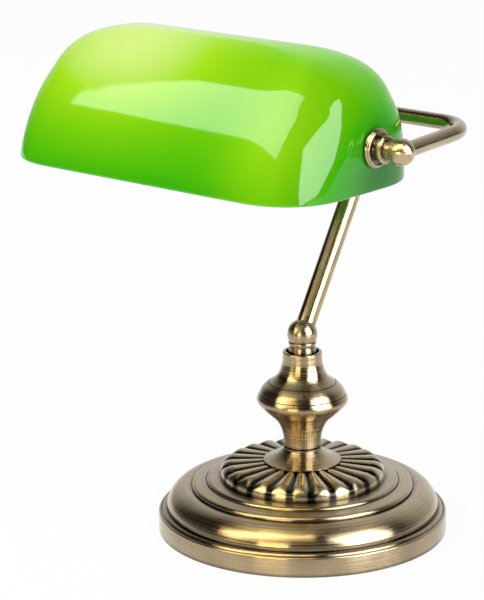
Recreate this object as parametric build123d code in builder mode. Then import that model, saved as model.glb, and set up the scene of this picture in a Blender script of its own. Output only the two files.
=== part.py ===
from build123d import *
from math import asin, cos, degrees, radians, sin, sqrt, tan
import os

# Banker desk lamp: weighted brass base, turned column, bent stem, U-shaped yoke and a cased glass shade.
# Origin at the centre of the underside of the base, +Z up, the shade's long axis along X, its front to -Y.
# All sizes are in millimetres.

# ---------------------------------------------------------------- base: driving sizes
base_radius = 90.0          # outer radius of the plinth
pad_thickness = 1.6         # felt pad, its lower face is the rest face
pad_margin = 2.2            # felt stays this far inside the plinth wall
plinth_lift = 0.5           # the brass edge stays clear of the table
plinth_height = 12.8        # top of the plinth's shoulder
shell_wall = 1.4            # spun brass sheet
ledge_width = 5.2           # flat ledge with its bead between plinth and dome
plinth_round = 1.3
ledge_line_inset = 1.9      # fine line on the ledge, from the plinth wall
ledge_line_width = 0.5
cove_depth = 0.6            # cove between bead and dome
cove_height = 2.8
dome_top_radius = 69.5      # first engraved line
dome_top = 27.7
band_radius = 60.2          # second engraved line
band_top = 32.0
deck_height = 33.8          # flat deck that carries the fluted collar
groove_depth = 0.7          # engraved lines of the base
groove_width = 0.9
weight_gap = 0.6            # cast weight inside the shell
weight_floor = 3.2          # top of the bottom plate
weight_top = 13.4           # flat top of the cast disc
boss_radius = 22.0          # boss that carries the deck under the column
recess_depth = 7.6          # nut recess and cord channel in the weight
recess_radius = 14.5
gland_radius = 4.2          # flange outside the plinth wall
gland_tube = 3.2
gland_bore = 2.6
gland_height = 7.6

# ---------------------------------------------------------------- column: driving sizes
pipe_radius = 5.0           # M10 x 1 lamp pipe
pipe_bore = 3.4
pipe_room = 0.6             # clearance of the pipe in the weight
pipe_proud = 0.4            # the pipe stands this far out of its nut
pipe_nut_height = 4.0
pipe_washer_radius = 12.0
pipe_washer_thickness = 1.2
thread_gap = 0.1            # every turned part slides over the pipe with this gap
collar_radius = 51.4        # fluted collar
lobe_count = 24
lobe_tip = 7.5              # radius of each lobe's rounded end
lobe_fall = 12.7            # degrees by which each lobe's centre line drops outwards
lobe_lift = 1.6             # the lobe's end centre lies this far above the deck
collar_band_proud = 0.15    # the smooth band round the collar's foot stands out from the lobes
collar_band_turn = 30.0     # degrees over which the band follows the lobes' rounded ends
collar_seat_width = 9.0     # ring on which the hollow collar stands
collar_hollow = 4.6
collar_rise = 10.2          # seat of the flare above the deck
flare_radius = 24.2
flare_height = 10.2
column_foot_radius = 11.4
cup_height = 33.3
cup_radius = 28.4
bell_height = 26.9
joint_line = 0.5            # dark line where the bell sits on the cup
bell_mouth_radius = 12.2
bell_lip = 1.9              # thickness of the bell's lip
engraved_depth = 0.5
neck_depth = 9.8            # the neck's foot lies this far below the bell's lip
neck_radius = 9.1
neck_top_radius = 8.1
neck_proud = 3.3            # the neck stands this far above the lip

# ---------------------------------------------------------------- knuckle: driving sizes
ball_radius = 9.35
ball_height = 10.8          # ball centre above the bell's lip
ring_radius = 8.65
ring_height = 3.0
stud_radius = 3.4
stud_nut_height = 3.0
eye_radius = 4.4
eye_width = 6.2
pin_radius = 1.5
swing_back = 25.0           # degrees of stem tilt from its drawn place, backwards
swing_forward = 30.0        # and forwards
run_gap = 0.3               # between pieces that move against each other
pin_gap = 0.05              # shaft in its hole

# ---------------------------------------------------------------- stem and yoke: driving sizes
stem_radius = 6.0
stem_wall = 1.0
stem_lean = 31.0            # degrees from upright
stem_lower = 122.5          # ball centre to the bend's corner
stem_upper = 86.0           # bend's corner to the yoke's rear bar
stem_bend = 32.0
spigot_length = 10.0
bar_radius = 4.5
bar_wall = 1.0
arm_length = 67.8           # rear bar to pivot axis
arm_fall = 2.75             # degrees by which the arms drop towards the pivots
yoke_bend = 20.3
hub_radius = 6.9
hub_length = 24.0
hub_reach = 15.0
joint_gap = 0.05            # brazed joints
pivot_ball_radius = 7.7
pivot_ball_flat = 5.0       # flat face of the pivot ball, from its centre
arm_end = 5.25              # the yoke's arms end this far from the pivot axis

# ---------------------------------------------------------------- shade: driving sizes
shade_half_length = 114.8
shade_front = 60.1          # crest to front rim
shade_rear = 61.4           # crest to rear rim
shade_height = 76.7
shade_corner = 37.5         # corner radius in plan
glass_wall = 3.0
length_power = 4.4          # roundness along the shade
front_power = 1.41          # roundness of the front slope
rear_power = 2.5            # roundness of the back
hole_height = 24.9          # pivot holes above the rim
crest_ahead = 9.0           # crest line in front of the pivot axis
nipple_radius = 3.9
nipple_bore = 2.4
nipple_head = 4.65
head_thickness = 2.2
hole_gap = 0.5
cup_washer_radius = 11.3
cup_washer_thickness = 3.2
gasket_radius = 8.6
gasket_thickness = 1.1
glass_gap = 0.25            # the flat washers stand this far off the curved glass
locknut_radius = 6.2
locknut_thickness = 2.15
bush_radius = 7.9
bush_thickness = 2.7
arm_offset = 18.0           # yoke arm outside the shade's end
inner_recess = 1.5          # inner gasket's face inside the glass
inner_washer_radius = 7.8
inner_washer_thickness = 1.2
jam_nut_flats = 13.0
jam_nut_thickness = 4.0
nipple_tail = 1.2

# ---------------------------------------------------------------- lampholder and bulb: driving sizes
holder_radius = 19.0
holder_neck_radius = 7.5    # flat end of the cap
holder_neck_length = 6.5    # thread of the cap on the nipple
holder_skirt = 6.0          # straight part of the cap
holder_cap_length = 22.0
holder_length = 49.0
holder_wall = 2.0
holder_flange = 20.4
screw_shell_radius = 13.9
screw_shell_wall = 0.4
screw_shell_length = 25.0
bulb_cap_radius = 13.1
bulb_cap_length = 24.0
bulb_cap_taper = 3.5        # length of the cap's sloped end
bulb_tip_radius = 3.2
bulb_tip_height = 1.8
bulb_insulator_radius = 6.0
bulb_radius = 15.0
bulb_length = 122.0
insert_thickness = 5.0

# ---------------------------------------------------------------- levels and places
collar_seat = deck_height + collar_rise
flare_top = collar_seat + flare_height
cup_top = flare_top + cup_height
bell_foot = cup_top + joint_line
bell_top = bell_foot + bell_height
neck_foot = bell_top - neck_depth
neck_top = bell_top + neck_proud
ball_z = bell_top + ball_height
ring_top = neck_top + ring_height
pipe_top = neck_foot + 3.8
nut_room = pipe_top + 0.6

lean_up = (sin(radians(stem_lean)), cos(radians(stem_lean)))
lean_over = (-lean_up[1], lean_up[0])
corner_y = stem_lower * lean_up[0]
corner_z = ball_z + stem_lower * lean_up[1]
bar_y = corner_y + stem_upper * lean_over[0]
bar_z = corner_z + stem_upper * lean_over[1]
arm_line = (cos(radians(arm_fall)), sin(radians(arm_fall)))
pivot_y = bar_y - arm_length * arm_line[0]
pivot_z = bar_z - arm_length * arm_line[1]
arm_end_y = pivot_y + arm_end * arm_line[0]
arm_end_z = pivot_z + arm_end * arm_line[1]
arm_x = shade_half_length + arm_offset
crest_y = pivot_y - crest_ahead
rim_z = pivot_z - hole_height

os.makedirs("parts", exist_ok=True)


def save(piece, label):
    """Name a finished piece and write its file."""
    piece.part.label = label
    export_step(piece.part, f"parts/{label}.step")


def pivot_plane(side):
    """Plane for parts turned about the shade's pivot axis: local X runs outwards, local Y is the radius."""
    return Plane(origin=(0, pivot_y, pivot_z), x_dir=(side, 0, 0), z_dir=(0, -side, 0))


pivot_axis = Axis((0, pivot_y, pivot_z), (1, 0, 0))
sides = (("left", -1), ("right", 1))

# ================================================================ base
# Felt pad under the whole foot.
with BuildPart() as felt_pad:
    with BuildSketch():
        Circle(base_radius - pad_margin)
    extrude(amount=pad_thickness)
save(felt_pad, "felt_pad")

dome_foot_radius = base_radius - ledge_width
bead_radius = 0.32 * ledge_width
bead_top = plinth_height + 0.9 * bead_radius
cover_inside = (
    (base_radius - shell_wall, plinth_height - 1.4 * shell_wall),
    (dome_foot_radius - 1.6 * shell_wall, plinth_height - shell_wall),
    (dome_foot_radius - 3.2 * shell_wall, plinth_height + 0.45 * (dome_top - plinth_height)),
    (dome_top_radius - shell_wall, dome_top - shell_wall),
    (band_radius - shell_wall, band_top - shell_wall),
    (collar_radius, deck_height - shell_wall),
)

# Spun base cover: plinth wall, bead, cove, dome and two stepped bands under a flat deck, open underneath.
with BuildPart() as base_cover:
    with BuildSketch(Plane.XZ):
        with BuildLine():
            Line((base_radius - shell_wall, plinth_lift), (base_radius, plinth_lift))
            Line((base_radius, plinth_lift), (base_radius, plinth_height - plinth_round))
            RadiusArc(
                (base_radius, plinth_height - plinth_round),
                (base_radius - plinth_round, plinth_height),
                -plinth_round,
            )
            ledge = Line(
                (base_radius - plinth_round, plinth_height),
                (dome_foot_radius + 2.0 * bead_radius, plinth_height),
            )
            bead = RadiusArc(
                ledge @ 1,
                (dome_foot_radius + 0.2 * bead_radius, bead_top),
                -1.15 * bead_radius,
            )
            cove = Polyline(
                bead @ 1,
                (dome_foot_radius - cove_depth, bead_top),
                (dome_foot_radius - cove_depth, bead_top + cove_height - cove_depth),
                (dome_foot_radius, bead_top + cove_height),
            )
            dome = ThreePointArc(
                cove @ 1,
                (
                    dome_top_radius + 0.66 * (dome_foot_radius - dome_top_radius),
                    dome_top - 0.25 * (dome_top - bead_top - cove_height),
                ),
                (dome_top_radius, dome_top),
            )
            lower_band = ThreePointArc(
                dome @ 1,
                ((dome_top_radius + band_radius) / 2, (dome_top + band_top) / 2 + 0.9),
                (band_radius, band_top),
            )
            upper_band = ThreePointArc(
                lower_band @ 1,
                ((band_radius + collar_radius) / 2, (band_top + deck_height) / 2 + 0.5),
                (collar_radius + 0.4, deck_height),
            )
            Polyline(
                upper_band @ 1,
                (pipe_radius + thread_gap, deck_height),
                (pipe_radius + thread_gap, deck_height - shell_wall),
                *reversed(cover_inside),
                (base_radius - shell_wall, plinth_lift),
            )
        make_face()
    revolve(axis=Axis.Z)
    with BuildSketch(Plane.XZ):
        for groove_radius, groove_z in ((dome_top_radius, dome_top), (band_radius, band_top)):
            with Locations((groove_radius, groove_z)):
                Rectangle(groove_width, 2 * groove_depth)
    revolve(axis=Axis.Z, mode=Mode.SUBTRACT)
    with BuildSketch(Plane.XZ):
        with Locations((base_radius - ledge_line_inset, plinth_height)):
            Rectangle(ledge_line_width, 2 * ledge_line_width)
    revolve(axis=Axis.Z, mode=Mode.SUBTRACT)
    with BuildSketch(Plane(origin=(0, base_radius + 1, gland_height), z_dir=(0, -1, 0))):
        Circle(gland_tube + joint_gap)
    extrude(amount=4 * shell_wall, mode=Mode.SUBTRACT)
save(base_cover, "base_cover")

# Cast-iron weight: a disc that follows the cover's foot, with a boss under the deck, a recess for the
# nut and a channel for the cord.
weight_radius = base_radius - shell_wall - weight_gap - 2.4
weight_shoulder = plinth_height - 3.0 * shell_wall
weight_top_radius = dome_foot_radius - 4.4 * shell_wall - weight_gap
with BuildPart() as base_weight:
    with BuildSketch(Plane.XZ):
        with BuildLine():
            Polyline(
                (pipe_radius + pipe_room, weight_floor),
                (weight_radius, weight_floor),
                (weight_radius, weight_shoulder),
                (weight_top_radius, weight_top),
                (boss_radius, weight_top),
                (boss_radius, deck_height - shell_wall),
                (pipe_radius + pipe_room, deck_height - shell_wall),
                close=True,
            )
        make_face()
    revolve(axis=Axis.Z)
    with BuildSketch(Plane.XY.offset(weight_floor)):
        Circle(recess_radius)
        with Locations((0, weight_radius / 2 + 4)):
            Rectangle(2 * gland_radius + 2, weight_radius)
    extrude(amount=recess_depth, mode=Mode.SUBTRACT)
save(base_weight, "base_weight")

# Steel bottom plate between weight and felt.
with BuildPart() as bottom_plate:
    with BuildSketch(Plane.XY.offset(pad_thickness)):
        Circle(base_radius - shell_wall - weight_gap)
        Circle(recess_radius, mode=Mode.SUBTRACT)
    extrude(amount=weight_floor - pad_thickness)
save(bottom_plate, "bottom_plate")

# Plastic gland in the back of the plinth wall, through which the cord comes in.
with BuildPart() as cord_gland:
    with BuildSketch(Plane(origin=(0, base_radius, gland_height), z_dir=(0, 1, 0))):
        Circle(gland_radius)
    extrude(amount=1.6, taper=15)
    with BuildSketch(Plane(origin=(0, base_radius, gland_height), z_dir=(0, -1, 0))):
        Circle(gland_tube)
    extrude(amount=6.5)
    with BuildSketch(Plane(origin=(0, base_radius + 3, gland_height), z_dir=(0, -1, 0))):
        Circle(gland_bore)
    extrude(amount=12, mode=Mode.SUBTRACT)
save(cord_gland, "cord_gland")

# Hex nut and washer that pull the whole column down on the base.
washer_seat = weight_floor + recess_depth
with BuildPart() as pipe_washer:
    with BuildSketch(Plane.XY.offset(washer_seat - pipe_washer_thickness)):
        Circle(pipe_washer_radius)
        Circle(pipe_radius + thread_gap, mode=Mode.SUBTRACT)
    extrude(amount=pipe_washer_thickness)
save(pipe_washer, "pipe_washer")

nut_foot = washer_seat - pipe_washer_thickness - pipe_nut_height
with BuildPart() as pipe_nut:
    with BuildSketch(Plane.XY.offset(nut_foot)):
        RegularPolygon(radius=1.75 * pipe_radius, side_count=6)
        Circle(pipe_radius, mode=Mode.SUBTRACT)
    extrude(amount=pipe_nut_height)
    chamfer(pipe_nut.faces().sort_by(Axis.Z)[0].outer_wire().edges(), length=0.6)
save(pipe_nut, "pipe_nut")

# Threaded lamp pipe, the column's hidden core.
with BuildPart() as lamp_pipe:
    with BuildSketch(Plane.XY.offset(nut_foot - pipe_proud)):
        Circle(pipe_radius)
        Circle(pipe_bore, mode=Mode.SUBTRACT)
    extrude(amount=pipe_top - nut_foot + pipe_proud)
save(lamp_pipe, "lamp_pipe")

# ================================================================ column
# Fluted collar: radial lobes, each a cone that ends in a ball, with sharp valleys between them. Their ends
# run down into a smooth turned band.
lobe_end_radius = collar_radius - lobe_tip
lobe_end_z = deck_height + lobe_lift
lobe_length = lobe_end_radius / cos(radians(lobe_fall))
lobe_apex_z = lobe_end_z + lobe_end_radius * tan(radians(lobe_fall))
lobe_taper = asin(lobe_tip / lobe_length)
lobe_start = 0.35 * lobe_length
lobe_plane = Plane(
    origin=(0, 0, lobe_apex_z),
    x_dir=(cos(radians(lobe_fall)), 0, -sin(radians(lobe_fall))),
    z_dir=(0, -1, 0),
)
with BuildPart() as lobe:
    with BuildSketch(lobe_plane):
        with BuildLine():
            Line((lobe_start, 0), (lobe_start, lobe_start * tan(lobe_taper)))
            flank = Line(
                (lobe_start, lobe_start * tan(lobe_taper)),
                (lobe_length - lobe_tip * sin(lobe_taper), lobe_tip * cos(lobe_taper)),
            )
            half_turn = (90 + degrees(lobe_taper)) / 2
            ThreePointArc(
                flank @ 1,
                (
                    lobe_length + lobe_tip * cos(radians(half_turn)),
                    lobe_tip * sin(radians(half_turn)),
                ),
                (lobe_length + lobe_tip, 0),
            )
            Line((lobe_length + lobe_tip, 0), (lobe_start, 0))
        make_face()
    revolve(axis=Axis(lobe_plane.origin, lobe_plane.x_dir))

band_turn_radius = lobe_tip + collar_band_proud
with BuildPart() as fluted_collar:
    with BuildSketch(Plane.XZ):
        with BuildLine():
            foot = Polyline(
                (0, deck_height),
                (lobe_end_radius + band_turn_radius, deck_height),
                (lobe_end_radius + band_turn_radius, lobe_end_z),
            )
            band = ThreePointArc(
                foot @ 1,
                (
                    lobe_end_radius + band_turn_radius * cos(radians(collar_band_turn / 2)),
                    lobe_end_z + band_turn_radius * sin(radians(collar_band_turn / 2)),
                ),
                (
                    lobe_end_radius + band_turn_radius * cos(radians(collar_band_turn)),
                    lobe_end_z + band_turn_radius * sin(radians(collar_band_turn)),
                ),
            )
            Polyline(
                band @ 1,
                (lobe_end_radius + 0.3 * lobe_tip, lobe_end_z + 0.64 * lobe_tip),
                (flare_radius - 1, lobe_end_z + 0.64 * lobe_tip),
                (flare_radius - 1, collar_seat),
                (0, collar_seat),
                (0, deck_height),
            )
        make_face()
    revolve(axis=Axis.Z)
    with PolarLocations(0, lobe_count):
        add(lobe.part)
    with BuildSketch(Plane.XY.offset(collar_seat)):
        Circle(flare_radius + 1)
    extrude(amount=10, mode=Mode.SUBTRACT)
    with BuildSketch(Plane.XY.offset(deck_height)):
        Circle(2 * collar_radius)
    extrude(amount=-12, mode=Mode.SUBTRACT)
    with BuildSketch(Plane.XY.offset(deck_height)):
        Circle(collar_radius - collar_seat_width)
    extrude(amount=collar_hollow, mode=Mode.SUBTRACT)
    with BuildSketch(Plane.XY.offset(deck_height)):
        Circle(pipe_radius + thread_gap)
    extrude(amount=2 * collar_rise, mode=Mode.SUBTRACT)
save(fluted_collar, "fluted_collar")

# Trumpet-shaped foot flare with a small turned ring on top.
flare_lip = 0.8
with BuildPart() as foot_flare:
    with BuildSketch(Plane.XZ):
        with BuildLine():
            Line((pipe_radius + thread_gap, collar_seat), (flare_radius, collar_seat))
            Line((flare_radius, collar_seat), (flare_radius, collar_seat + flare_lip))
            trumpet = ThreePointArc(
                (flare_radius, collar_seat + flare_lip),
                (
                    column_foot_radius + 0.36 * (flare_radius - column_foot_radius),
                    collar_seat + 0.42 * flare_height,
                ),
                (column_foot_radius + 0.4, collar_seat + flare_height - 2.0),
            )
            Polyline(
                trumpet @ 1,
                (column_foot_radius + 0.4, flare_top - 1.1),
                (column_foot_radius - 1.0, flare_top - 1.1),
                (column_foot_radius - 1.0, flare_top),
                (pipe_radius + thread_gap, flare_top),
                (pipe_radius + thread_gap, collar_seat),
            )
        make_face()
    revolve(axis=Axis.Z)
save(foot_flare, "foot_flare")

# Lower cup of the column: narrow foot, engraved line, wide rounded bowl.
line_z = flare_top + 0.65 * cup_height
line_radius = 0.77 * cup_radius
with BuildPart() as column_cup:
    with BuildSketch(Plane.XZ):
        with BuildLine():
            Line((pipe_radius + thread_gap, flare_top), (column_foot_radius, flare_top))
            stalk = Spline(
                (column_foot_radius, flare_top),
                (column_foot_radius + 1.0, flare_top + 0.235 * cup_height),
                (column_foot_radius + 4.4, flare_top + 0.47 * cup_height),
                (line_radius, line_z),
                tangents=((0.04, 1), (0.74, 0.67)),
            )
            bowl = Spline(
                stalk @ 1,
                (0.935 * cup_radius, flare_top + 0.79 * cup_height),
                (cup_radius, flare_top + 0.9 * cup_height),
                (0.955 * cup_radius, cup_top),
                tangents=((0.74, 0.67), (-0.4, 0.8)),
            )
            Polyline(
                bowl @ 1,
                (pipe_radius + thread_gap, cup_top),
                (pipe_radius + thread_gap, flare_top),
            )
        make_face()
    revolve(axis=Axis.Z)
    with BuildSketch(Plane.XZ):
        with Locations(Location((line_radius, line_z), 40)):
            Rectangle(0.7, 2 * engraved_depth)
    revolve(axis=Axis.Z, mode=Mode.SUBTRACT)
save(column_cup, "column_cup")

# Upper bell: flowing shoulder, engraved line, straight throat with an open mouth.
bell_line_z = bell_foot + 0.26 * bell_height
bell_line_radius = 1.71 * bell_mouth_radius
lip_round = 0.9
with BuildPart() as column_bell:
    with BuildSketch(Plane.XZ):
        with BuildLine():
            Line((pipe_radius + thread_gap, bell_foot - joint_line), (0.9 * cup_radius, bell_foot - joint_line))
            Line((0.9 * cup_radius, bell_foot - joint_line), (0.9 * cup_radius, bell_foot))
            Line((0.9 * cup_radius, bell_foot), (0.95 * cup_radius, bell_foot))
            shoulder_curve = Spline(
                (0.95 * cup_radius, bell_foot),
                (0.885 * cup_radius, bell_foot + 0.12 * bell_height),
                (bell_line_radius, bell_line_z),
                (1.27 * bell_mouth_radius, bell_foot + 0.43 * bell_height),
                (1.07 * bell_mouth_radius, bell_foot + 0.66 * bell_height),
                (bell_mouth_radius, bell_top - lip_round),
                tangents=((-0.5, 0.87), (-0.03, 1)),
            )
            lip = RadiusArc(shoulder_curve @ 1, (bell_mouth_radius - lip_round, bell_top), -lip_round)
            Polyline(
                lip @ 1,
                (bell_mouth_radius - bell_lip, bell_top - 0.2),
                (bell_mouth_radius - bell_lip, neck_foot),
                (pipe_radius + thread_gap, neck_foot),
                (pipe_radius + thread_gap, bell_foot - joint_line),
            )
        make_face()
    revolve(axis=Axis.Z)
    with BuildSketch(Plane.XZ):
        with Locations(Location((bell_line_radius, bell_line_z), -40)):
            Rectangle(0.7, 2 * engraved_depth)
    revolve(axis=Axis.Z, mode=Mode.SUBTRACT)
save(column_bell, "column_bell")

# Neck: threaded on the pipe inside the bell's mouth; its top bore is the swivel bearing.
with BuildPart() as swivel_neck:
    with BuildSketch(Plane.XZ):
        with BuildLine():
            Polyline(
                (pipe_radius + joint_gap, neck_foot),
                (neck_radius, neck_foot),
                (neck_radius, bell_top - 2.0),
                (neck_top_radius, neck_top - 0.5),
                (neck_top_radius - 0.4, neck_top),
                (stud_radius + pin_gap, neck_top),
                (stud_radius + pin_gap, neck_top - 3.4),
                (pipe_radius + joint_gap, neck_top - 3.4),
                close=True,
            )
        make_face()
    revolve(axis=Axis.Z)
    with Locations((0, 0, ball_z)):
        Sphere(ball_radius + run_gap, mode=Mode.SUBTRACT)
save(swivel_neck, "swivel_neck")

# ================================================================ knuckle
# Swivel ring: a turned ring dished to the ball's curve, between neck and ball.
with BuildPart() as swivel_ring:
    with BuildSketch(Plane.XZ):
        with BuildLine():
            base_line = Polyline(
                (stud_radius + joint_gap, neck_top),
                (ring_radius - 0.9, neck_top),
                (ring_radius - 0.9, neck_top + 0.8),
                (ring_radius - 0.3, neck_top + 0.8),
            )
            rounding = ThreePointArc(
                base_line @ 1,
                (ring_radius, (neck_top + 0.8 + ring_top) / 2),
                (ring_radius - 0.3, ring_top),
            )
            Polyline(
                rounding @ 1,
                (stud_radius + joint_gap, ring_top),
                (stud_radius + joint_gap, neck_top),
            )
        make_face()
    revolve(axis=Axis.Z)
    with Locations((0, 0, ball_z)):
        Sphere(ball_radius + run_gap, mode=Mode.SUBTRACT)
save(swivel_ring, "swivel_ring")

# Swivel stud: turned shank with a flat eye that carries the ball on its cross pin.
stud_shoulder = stud_radius - 0.9
with BuildPart() as swivel_stud:
    with BuildSketch(Plane.XY.offset(nut_room)):
        Circle(stud_shoulder)
    extrude(amount=neck_top - 3.4 - nut_room)
    with BuildSketch(Plane.XY.offset(neck_top - 3.4)):
        Circle(stud_radius)
    extrude(amount=ball_z - ball_radius + 1.5 - neck_top + 3.4)
    with BuildSketch(Plane.XY.offset(ball_z - ball_radius + 1.5)):
        Circle(eye_width / 2 - 0.4)
    extrude(amount=ball_radius - 1.5)
    with BuildSketch(Plane.YZ.offset(-eye_width / 2)):
        with Locations((0, ball_z)):
            Circle(eye_radius)
    extrude(amount=eye_width)
    with BuildSketch(Plane.YZ.offset(-eye_width)):
        with Locations((0, ball_z)):
            Circle(pin_radius + pin_gap)
    extrude(amount=2 * eye_width, mode=Mode.SUBTRACT)
save(swivel_stud, "swivel_stud")

# Round nut that holds the stud under the neck's bearing.
with BuildPart() as stud_nut:
    with BuildSketch(Plane.XY.offset(neck_top - 3.4 - run_gap - stud_nut_height)):
        Circle(pipe_radius - run_gap)
        Circle(stud_shoulder, mode=Mode.SUBTRACT)
    extrude(amount=stud_nut_height)
save(stud_nut, "stud_nut")


def slot_edge(angle, side):
    """Two points of the slot's straight edge for one end of the swing, in the YZ plane."""
    down = (sin(radians(angle)), -cos(radians(angle)))
    across = (side * cos(radians(angle)), side * sin(radians(angle)))
    half = stud_radius + run_gap
    near = (half * across[0], ball_z + half * across[1])
    far = (near[0] + 2 * ball_radius * down[0], near[1] + 2 * ball_radius * down[1])
    return near, far


# Ball at the foot of the stem: it turns on the cross pin over the stud, through a slot in its underside.
spigot_start = ball_radius + 1.2
with BuildPart() as stem_ball:
    with Locations((0, 0, ball_z)):
        Sphere(ball_radius)
    stem_direction = (0, lean_up[0], lean_up[1])
    with BuildSketch(Plane(origin=(0, 0, ball_z), z_dir=stem_direction)):
        Circle(stem_radius)
    extrude(amount=spigot_start)
    with BuildSketch(Plane(origin=(0, 0, ball_z), z_dir=stem_direction)):
        Circle(stem_radius - stem_wall - joint_gap)
    extrude(amount=spigot_start + spigot_length)
    front_near, front_far = slot_edge(-swing_forward, -1)
    back_near, back_far = slot_edge(swing_back, 1)
    with BuildSketch(Plane.YZ.offset(-stud_radius - run_gap)):
        with BuildLine():
            Polyline(front_near, front_far, back_far, back_near, close=True)
        make_face()
        with Locations((0, ball_z)):
            Circle(eye_radius + run_gap)
    extrude(amount=2 * (stud_radius + run_gap), mode=Mode.SUBTRACT)
    with BuildSketch(Plane.YZ.offset(-2 * ball_radius)):
        with Locations((0, ball_z)):
            Circle(pin_radius)
    extrude(amount=4 * ball_radius, mode=Mode.SUBTRACT)
save(stem_ball, "stem_ball")

# Cross pin, filed flush with the ball.
with BuildPart() as knuckle_pin:
    pin_half = sqrt(ball_radius**2 - pin_radius**2) - 0.05
    with BuildSketch(Plane.YZ.offset(-pin_half)):
        with Locations((0, ball_z)):
            Circle(pin_radius)
    extrude(amount=2 * pin_half)
save(knuckle_pin, "knuckle_pin")

# ================================================================ stem and yoke
# Bent stem tube from the ball to the hub.
hub_socket = hub_radius + 0.4
with BuildPart() as stem_tube:
    with BuildLine() as stem_path:
        FilletPolyline(
            (0, spigot_start * lean_up[0], ball_z + spigot_start * lean_up[1]),
            (0, corner_y, corner_z),
            (0, bar_y - hub_socket * lean_over[0], bar_z - hub_socket * lean_over[1]),
            radius=stem_bend,
        )
    with BuildSketch(Plane(origin=stem_path.line @ 0, z_dir=stem_path.line % 0)):
        Circle(stem_radius)
        Circle(stem_radius - stem_wall, mode=Mode.SUBTRACT)
    sweep()
save(stem_tube, "stem_tube")

# Hub: a sleeve brazed round the middle of the rear bar, with a socket for the stem.
with BuildPart() as yoke_hub:
    with BuildSketch(Plane.YZ.offset(-hub_length / 2)):
        with Locations((bar_y, bar_z)):
            Circle(hub_radius)
    extrude(amount=hub_length)
    chamfer(yoke_hub.edges().filter_by(GeomType.CIRCLE), length=1.0)
    hub_plane = Plane(origin=(0, bar_y, bar_z), z_dir=(0, -lean_over[0], -lean_over[1]))
    with BuildSketch(hub_plane):
        Circle(stem_radius + 1.4)
    extrude(amount=hub_reach)
    fillet(yoke_hub.faces().sort_by(Axis(hub_plane.origin, hub_plane.z_dir))[-1].edges(), radius=0.8)
    with BuildSketch(hub_plane.offset(hub_socket)):
        Circle(stem_radius + joint_gap)
    extrude(amount=hub_reach, mode=Mode.SUBTRACT)
    with BuildSketch(Plane.YZ.offset(-hub_length)):
        with Locations((bar_y, bar_z)):
            Circle(bar_radius + joint_gap)
    extrude(amount=2 * hub_length, mode=Mode.SUBTRACT)
save(yoke_hub, "yoke_hub")

# U-shaped yoke bent from one tube: rear bar and two arms.
with BuildPart() as yoke_bar:
    with BuildLine() as yoke_path:
        FilletPolyline(
            (-arm_x, arm_end_y, arm_end_z),
            (-arm_x, bar_y, bar_z),
            (arm_x, bar_y, bar_z),
            (arm_x, arm_end_y, arm_end_z),
            radius=yoke_bend,
        )
    with BuildSketch(Plane(origin=yoke_path.line @ 0, z_dir=yoke_path.line % 0)):
        Circle(bar_radius)
        Circle(bar_radius - bar_wall, mode=Mode.SUBTRACT)
    sweep()
save(yoke_bar, "yoke_bar")

# Places along the pivot axis, measured outwards from the lamp's middle.
washer_face = shade_half_length + glass_gap + cup_washer_thickness
locknut_face = washer_face + locknut_thickness
bush_face = locknut_face + run_gap
bush_neck = bush_face + bush_thickness
ball_face = arm_x - pivot_ball_flat
bush_end = ball_face + 1.5
chamber_radius = nipple_head + run_gap
inner_face = shade_half_length - glass_wall - inner_recess
holder_seat = inner_face - gasket_thickness - inner_washer_thickness

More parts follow.
